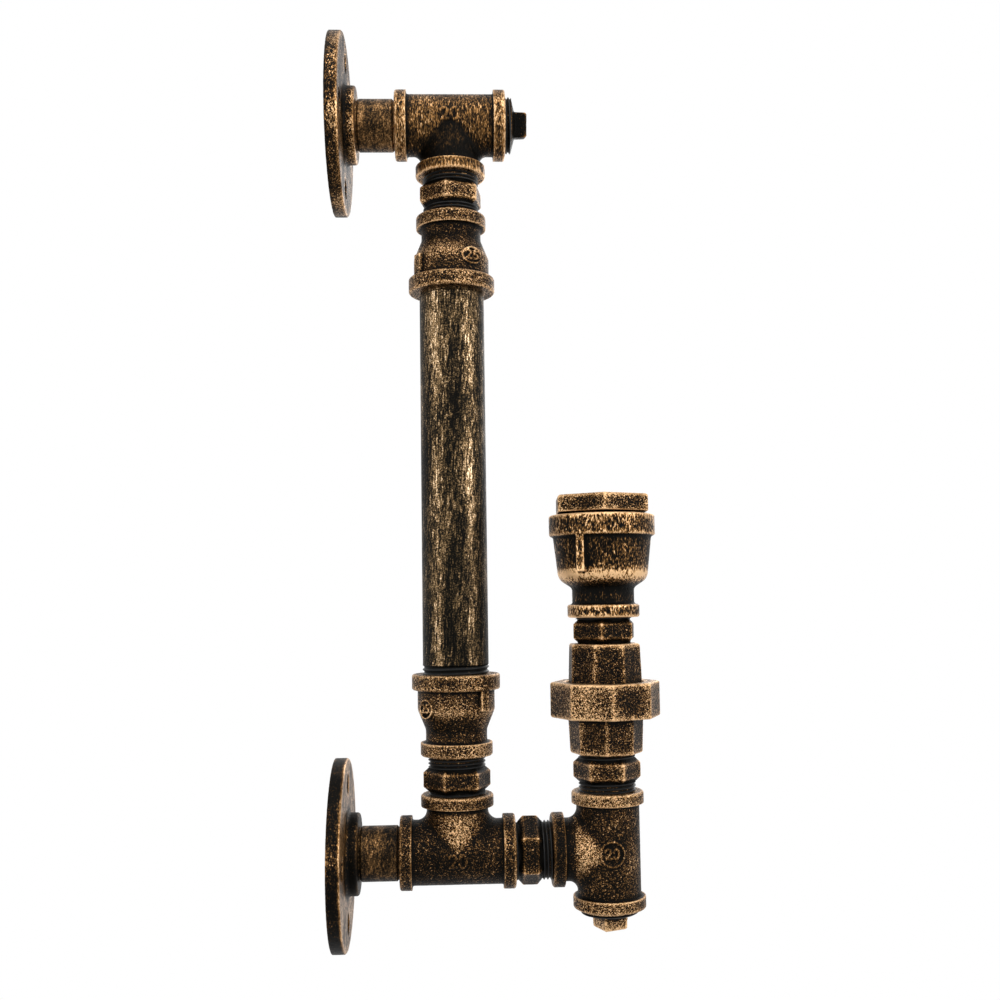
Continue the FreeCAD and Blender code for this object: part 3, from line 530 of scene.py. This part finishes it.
def cast_mark(number, centre, outward, upright, tall, radius, along=False, rim=0, stretch=1):
    """What raises a plain number on a fitting's round side, of this radius about centre.

    The number faces outward with its top towards upright. along is true where it reads along the
    fitting's axis, rim is how wide a raised ring round it is, if it has one, and stretch widens
    them both."""
    def add(shape):
        letters = bpy.data.curves.new("mark", "FONT")
        letters.body = number
        letters.size = tall / FIGURE_SHARE
        letters.align_x = letters.align_y = "CENTER"
        letters.extrude = MARK_DEPTH
        letters.offset = BOLDER * tall
        mesh = settled(bpy.data.objects.new("mark", letters))
        mark = bmesh.new()
        mark.from_mesh(mesh)
        if rim:
            band(mark, rim / 2 - RIM_WIDTH, rim / 2, -MARK_DEPTH, MARK_DEPTH)
        for vert in mark.verts:
            vert.co.x *= stretch
            vert.co.z -= (vert.co.y if along else vert.co.x) ** 2 / 2 / radius
        turn = Matrix((upright.cross(outward), upright, outward)).transposed().to_4x4()
        spot = centre + outward * (radius - SUNK)
        bmesh.ops.transform(mark, matrix=Matrix.Translation(spot) @ turn, verts=mark.verts)
        mark.to_mesh(mesh)
        mark.free()
        shape.from_mesh(mesh)
        bpy.data.meshes.remove(mesh)
    return add


def loosened(shape):
    """Draws in the union head's captive collar, so that its rough skin turns clear of the nut."""
    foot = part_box("union_head")[0].z
    for vert in shape.verts:
        out = Vector((vert.co.x - ARM_X, vert.co.y, 0))
        if vert.co.z < foot + COLLAR_TOP and out.length > COLLAR_FROM:
            vert.co -= out.normalized() * DRAWN_ROUND
            vert.co.z += DRAWN_FACES if vert.co.z < foot + COLLAR_MIDDLE else -DRAWN_FACES


def thread(node, axis, centre, low, high, sizes, material):
    """The helical crest of a bare thread between two places along its axis, cut flat at both."""
    radius, crest, pitch = sizes
    length = high - low
    if length < SHORTEST_THREAD:
        return
    shape = bmesh.new()
    root = radius - SUNK
    # The ridge's section, its heights as shares of the pitch, starts a turn below the cut.
    corners = [shape.verts.new((across, 0, (up - 1) * pitch)) for across, up in (
        (root, 0.02), (crest, 0.4), (crest, 0.6), (root, 0.98))]
    count = math.ceil(STEPS * (length / pitch + 1))
    bmesh.ops.spin(shape, geom=[shape.faces.new(corners)], cent=(0, 0, 0), axis=(0, 0, 1),
                   dvec=(0, 0, pitch / STEPS), angle=2 * math.pi * count / STEPS, steps=count)
    for up, out in ((0, -1), (length, 1)):
        everything = shape.verts[:] + shape.edges[:] + shape.faces[:]
        cut = bmesh.ops.bisect_plane(shape, geom=everything, plane_co=(0, 0, up),
                                     plane_no=(0, 0, out), clear_outer=True)["geom_cut"]
        edges = [item for item in cut if isinstance(item, bmesh.types.BMEdge)]
        bmesh.ops.holes_fill(shape, edges=edges, sides=0)
    bmesh.ops.recalc_face_normals(shape, faces=shape.faces)
    start = Vector(centre)
    start[axis] = low
    turn = Matrix.Rotation(math.pi / 2, 4, "Y") if axis == 0 else Matrix()
    bmesh.ops.transform(shape, matrix=Matrix.Translation(start) @ turn, verts=shape.verts)
    # A node's threads are told apart by where they start, in tenths of a millimetre.
    name = f"{node}_thread_{round(low * 1e4)}"
    mesh = mesh_of(shape, name)
    mesh.shade_smooth()
    mesh.set_sharp_from_angle(angle=SHARP)
    new_piece(name, mesh, material, node)


def rolled_shell(material):
    """The lampholder's screw shell with its rolled thread, a lip at its foot and a thin wall."""
    low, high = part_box("lampholder_shell")
    outer = (high.x - low.x) / 2
    turns = (high.z - low.z) / SHELL_PITCH
    shape = bmesh.new()
    bmesh.ops.create_grid(shape, x_segments=SHELL_ROUND, y_segments=SHELL_UP, size=1)
    for vert in shape.verts:
        turn, rise = (vert.co.x + 1) / 2, (vert.co.y + 1) / 2
        hollow = SHELL_ROLL * (1 + math.cos(2 * math.pi * (rise * turns - turn)))
        radius = outer - SHELL_INSET - hollow
        vert.co = (radius * math.cos(2 * math.pi * turn), radius * math.sin(2 * math.pi * turn),
                   rise * (high.z - low.z))
    bmesh.ops.remove_doubles(shape, verts=shape.verts, dist=SHELL_WELD)
    foot = [edge for edge in shape.edges if edge.is_boundary and edge.verts[0].co.z < FOOT_BELOW]
    lip = bmesh.ops.extrude_edge_only(shape, edges=foot)["geom"]
    lip = [item for item in lip if isinstance(item, bmesh.types.BMVert)]
    bmesh.ops.scale(shape, vec=(SHELL_LIP, SHELL_LIP, 1), verts=lip)
    bmesh.ops.recalc_face_normals(shape, faces=shape.faces)
    bmesh.ops.solidify(shape, geom=shape.faces, thickness=SHELL_WALL)
    bmesh.ops.translate(shape, vec=((low.x + high.x) / 2, 0, low.z), verts=shape.verts)
    mesh = mesh_of(shape, "lampholder_shell_rolled")
    mesh.shade_smooth()
    piece = new_piece("lampholder_shell_rolled", mesh, material, "lampholder_shell")
    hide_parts("lampholder_shell")


def set_stage():
    """A pale floor that keeps a faint shadow and fades into the white around it."""
    bpy.ops.mesh.primitive_plane_add(size=FLOOR_SIZE, location=(0, 0, FLOOR_Z))
    floor = bpy.context.active_object
    floor.name = "floor"
    finish = Finish("floor_white")
    finish.put(Base_Color=FLOOR_GREY, Roughness=0.9)
    glow = finish.node("Emission", {}, {"Color": (1, 1, 1), "Strength": 1})
    lit = Wire(finish, finish.shader.outputs[0])
    away = finish.node("VectorMath", {"operation": "LENGTH"}, {0: finish.place}, "Value")
    white = WHITE_SHARE + away.step(*FADE) * (1 - WHITE_SHARE)
    mixed = finish.node("MixShader", {}, {0: finish.seen() * white, 1: lit, 2: glow})
    finish.feed(finish.tree.nodes["Material Output"].inputs["Surface"], mixed)
    floor.data.materials.append(finish.material)
    world = bpy.data.worlds.new("world")
    bpy.context.scene.world = world
    world.use_nodes = True
    around = Nodes(world.node_tree)
    dim, bright = (around.node("Background", {}, {"Color": (1, 1, 1), "Strength": strength})
                   for strength in (AROUND, 1))
    mixed = around.node("MixShader", {}, {0: around.seen(), 1: dim, 2: bright})
    around.feed(around.tree.nodes["World Output"].inputs["Surface"], mixed)


def set_lights():
    """Broad soft lamps, all aimed at one place."""
    for name, spot, size, power in LAMPS:
        lamp = bpy.data.lights.new(name, "AREA")
        lamp.size = size
        lamp.energy = power
        holder = bpy.data.objects.new(name, lamp)
        bpy.context.scene.collection.objects.link(holder)
        turn = (AIM - Vector(spot)).to_track_quat("-Z", "Y").to_matrix().to_4x4()
        holder.matrix_world = Matrix.Translation(spot) @ turn


def towards(degrees):
    """A level direction, counted from the front to the right."""
    return Vector((math.sin(math.radians(degrees)), -math.cos(math.radians(degrees)), 0))


def near(spot, spread):
    """How near points are to a spot: 1 there, less and less over the spread along each axis."""
    return lambda points: np.exp(-(((points - np.array(spot)) / np.array(spread)) ** 2).sum(1))


def ring(centre, rise, spread, amount):
    """A band of more or less copper all round an upright fitting; rise and spread in mm."""
    return near(centre + UP * rise * MM, (WHOLE_FITTING, WHOLE_FITTING, spread * MM)), amount


def patch(centre, across, rise, wide, tall, amount):
    """A spot of more or less copper on a fitting's front; its place and size in mm."""
    spot = centre + UP * rise * MM + Vector((across * MM, -FRONT_AT, 0))
    return near(spot, (wide * MM, FRONT_DEPTH, tall * MM)), amount


def face(across, height, amount):
    """More or less copper on a flange's front or back face, across mm from the wall."""
    return near((across * MM, 0, height), (FACE_THICK, WHOLE_FLANGE, WHOLE_FLANGE)), amount


def branch(centre, way, amount, length=21 * MM):
    """More or less copper on a tee's branch, from where it slants into the run."""
    def share(points):
        spots = points - np.array(centre)
        out = spots @ np.array(way)
        inside = out - np.abs(spots @ np.array(way.cross(FRONT)))
        return (np.clip(inside / SLANT_FADE, 0, 1)
                * np.clip((length - out) / MOUTH_FADE, 0, 1))
    return share, amount


def shoulders(node, centre, axis=2, amount=-0.6):
    """Less copper on the two ends of a nipple's hexagon."""
    spots = [list(centre), list(centre)]
    spots[0][axis], spots[1][axis] = reach(node, axis, centre, HEXAGON_FROM)
    spread = [WHOLE_HEXAGON] * 3
    spread[axis] = END_THICK
    return [(near(spot, spread), amount) for spot in spots]


bpy.context.scene.view_settings.view_transform = "Standard"
set_camera()
set_lights()
set_stage()

cast = cast_finish("copper_over_black_cast")
cast_upright = cast_finish("copper_over_black_upright", stretch=(1, 1, 0.4), contrast=0.66,
                           patchy=0.8, fine=0.75)
cast_turned = cast_finish("copper_over_black_turned", stretch=(1.1, 0.27, 0.27), contrast=0.37,
                          edging=0.36)
cast_plate = cast_finish("copper_over_black_plate", stretch=(1, 1, 0.5), contrast=0.75,
                         edging=0.15, patchy=1.3, relief=0.08 * MM)
pipe_look = streaked_finish("copper_streaks_and_painted_highlights_upright", PIPE_TONES, level=0.1,
                            stretch=(1300, 1300, 190), contrast=0.68, middle=COLUMN_X)
nipple_look = streaked_finish("copper_streaks_turned", NIPPLE_TONES, level=0.28,
                              stretch=(1100, 400, 400), contrast=0.42)
thread_look = thread_finish()
brass = plain_finish("drawn_brass", srgb(206, 170, 96), rough=0.28, metal=1.0)
steel = plain_finish("plated_steel", srgb(180, 180, 176), rough=0.35, metal=1.0)
thermoset = plain_finish("moulded_black", srgb(38, 36, 34), rough=0.4, metal=0.0)
fibre = plain_finish("gasket_fibre", srgb(120, 58, 44), rough=0.8, metal=0.0)
sheath = plain_finish("lead_sheath", srgb(28, 28, 28), rough=0.55, metal=0.0)

# What is done to a casting's shape before it gets its skin. The lower tee's number looks about 7
# degrees down, and these are that angle's cosine and sine.
DOWN_COSINE, DOWN_SINE = 0.992, 0.126
RESHAPED = {
    "upper_tee": cast_mark("20", TOP, FRONT, UP, tall=7 * MM, radius=15.65 * MM, along=True),
    "lower_tee": cast_mark(
        "20", COLUMN, FRONT * DOWN_COSINE - UP * DOWN_SINE, UP * DOWN_COSINE + FRONT * DOWN_SINE,
        tall=6.6 * MM, radius=15.7 * MM, along=True),
    "arm_tee": cast_mark("20", ARM, FRONT, UP, tall=5.2 * MM, radius=15.8 * MM, rim=12.6 * MM),
    "upper_reducer": cast_mark(
        "25", COLUMN + UP * (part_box("upper_reducer")[0].z + 16 * MM), towards(33), UP,
        tall=4.6 * MM, radius=19.35 * MM, rim=8.8 * MM, stretch=1.35),
    "lower_reducer": cast_mark(
        "25", COLUMN + UP * (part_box("lower_reducer")[1].z - 16.5 * MM), towards(-51), UP,
        tall=4.4 * MM, radius=19.35 * MM, rim=9.6 * MM),
    "union_head": loosened}

# Each casting's finish, how much copper shows on it, and where there is more or less of it; most of
# that is wear, and the spots marked as such are painted highlights and painted shade.
CASTINGS = {
    "lower_flange": (cast_plate, -0.34, [face(7, 0, 1.0)]),
    "upper_flange": (cast_plate, 0.04, [face(7, UPPER_Z, 0.2), face(0, UPPER_Z, -0.5)]),
    "lower_tee": (cast, -0.16, [
        branch(COLUMN, UP, 0.38), patch(COLUMN, 0, 9, 9, 8, 0.25), patch(COLUMN, 21, 8, 5, 5, 0.4),
        ring(COLUMN, 27, 4, 0.15), patch(COLUMN, 0, -3, 9, 4, -0.1)]),
    "upper_tee": (cast_turned, 0.33, [
        branch(TOP, -UP, -0.28), patch(TOP, 0, 1, 8, 5, -0.17), ring(TOP, -22, 5, -0.2)]),
    "arm_tee": (cast, -0.09, [
        branch(ARM, LEFT, 0.4, length=18 * MM), patch(ARM, -13, -1, 5, 9, 0.15),
        # Painted shade: the darker strip on the branch's collar, 24 mm left. Partly copper specks
        # and partly a painted highlight: the tall strip 10 mm right of the front, where light
        # streaks down the run.
        patch(ARM, -24, 0, 5, 24, -0.35), patch(ARM, 10, 0, 4, 26, 0.2),
        ring(ARM, 26, 4, 0.25), ring(ARM, -26, 4, 0.15)]),
    "lower_reducer": (cast, 0.06, [
        ring(SMALL_LOW, 13.5, 4, -0.15), ring(SMALL_LOW, 22, 1.8, 0.3),
        # Painted highlights: the two spots 13 mm right of the front, on the neck and the small
        # collar, stand for the lit side of a casting seam that is not modelled.
        patch(SMALL_LOW, 13, 14, 2.5, 5, 0.5), patch(SMALL_LOW, 13, 3, 5, 5, 0.25)]),
    "upper_reducer": (cast, 0.07, [
        ring(SMALL_HIGH, -13, 4, -0.25), ring(SMALL_HIGH, -21.5, 1.8, 0.3)]),
    "union_tail": (cast, 0.0, []),
    "union_nut": (cast, 0.08, [
        patch(ARM, -9, 74, 9, 12, 0.38), patch(ARM, 10, 74, 6, 6, -0.25)]),
    "union_head": (cast, -0.08, []),
    "lamp_cup": (cast_upright, 0.08, [
        ring(ARM, 137, 3, 0.85), ring(ARM, 127.5, 3.5, -0.15), ring(ARM, 162, 5, 0.15),
        patch(ARM, 12, 148, 9, 9, 0.15)]),
    "lamp_bushing": (cast, -0.03, [
        patch(ARM, -10, 171, 5, 5, -0.15), patch(ARM, 8, 171, 4, 5, -0.15)]),
    "upper_tee_plug": (cast, -0.7, []),
    "arm_tee_plug": (cast, 0.35, []),
    "lower_hex_nipple": (cast, -0.16, shoulders("lower_hex_nipple", COLUMN)),
    "upper_hex_nipple": (cast, -0.02, shoulders("upper_hex_nipple", COLUMN)),
    "arm_hex_nipple": (cast, -0.3, shoulders("arm_hex_nipple", COLUMN, axis=0)),
    "riser_hex_nipple": (cast, -0.1, shoulders("riser_hex_nipple", ARM)),
    "head_hex_nipple": (cast, -0.23, shoulders("head_hex_nipple", ARM))}
for seed, (node, look) in enumerate(CASTINGS.items()):
    casting(node, *look, RESHAPED.get(node), seed)

# A nipple's two bare threads run from the fittings on both sides of it to its hexagon.
for node, axis, centre, below, above in (
        ("lower_hex_nipple", 2, COLUMN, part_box("lower_tee")[1].z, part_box("lower_reducer")[0].z),
        ("upper_hex_nipple", 2, COLUMN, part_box("upper_reducer")[1].z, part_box("upper_tee")[0].z),
        ("riser_hex_nipple", 2, ARM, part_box("arm_tee")[1].z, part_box("union_tail")[0].z),
        ("head_hex_nipple", 2, ARM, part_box("union_head")[1].z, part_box("lamp_cup")[0].z),
        ("arm_hex_nipple", 0, COLUMN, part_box("lower_tee")[1].x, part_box("arm_tee")[0].x)):
    first, last = reach(node, axis, centre, HEXAGON_FROM)
    thread(node, axis, centre, below, first, FITTING_THREAD, thread_look)
    thread(node, axis, centre, last, above, FITTING_THREAD, thread_look)
for node, axis, centre in (("upper_tee_plug", 0, TOP), ("arm_tee_plug", 2, ARM)):
    thread(node, axis, centre, *reach(node, axis, centre, PLUG_THREAD_FROM), FITTING_THREAD,
           thread_look)
thread("main_pipe", 2, COLUMN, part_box("lower_reducer")[1].z, PIPE_BARE, PIPE_THREAD, thread_look)
rolled_shell(brass)

# The CAD nodes that keep their own shape.
for nodes, material in (
        (["main_pipe"], pipe_look), (["lower_flange_nipple", "upper_flange_nipple"], nipple_look),
        (["contact_tab", "centre_contact"], brass), (["terminal_screws"], steel),
        (["lampholder_body"], thermoset), (["union_gasket"], fibre),
        (["supply_lead_wall", "supply_lead_arm", "supply_lead_head"], sheath)):
    for node in nodes:
        mesh = frame["nodes"][node].data
        mesh.materials.clear()
        mesh.materials.append(material)
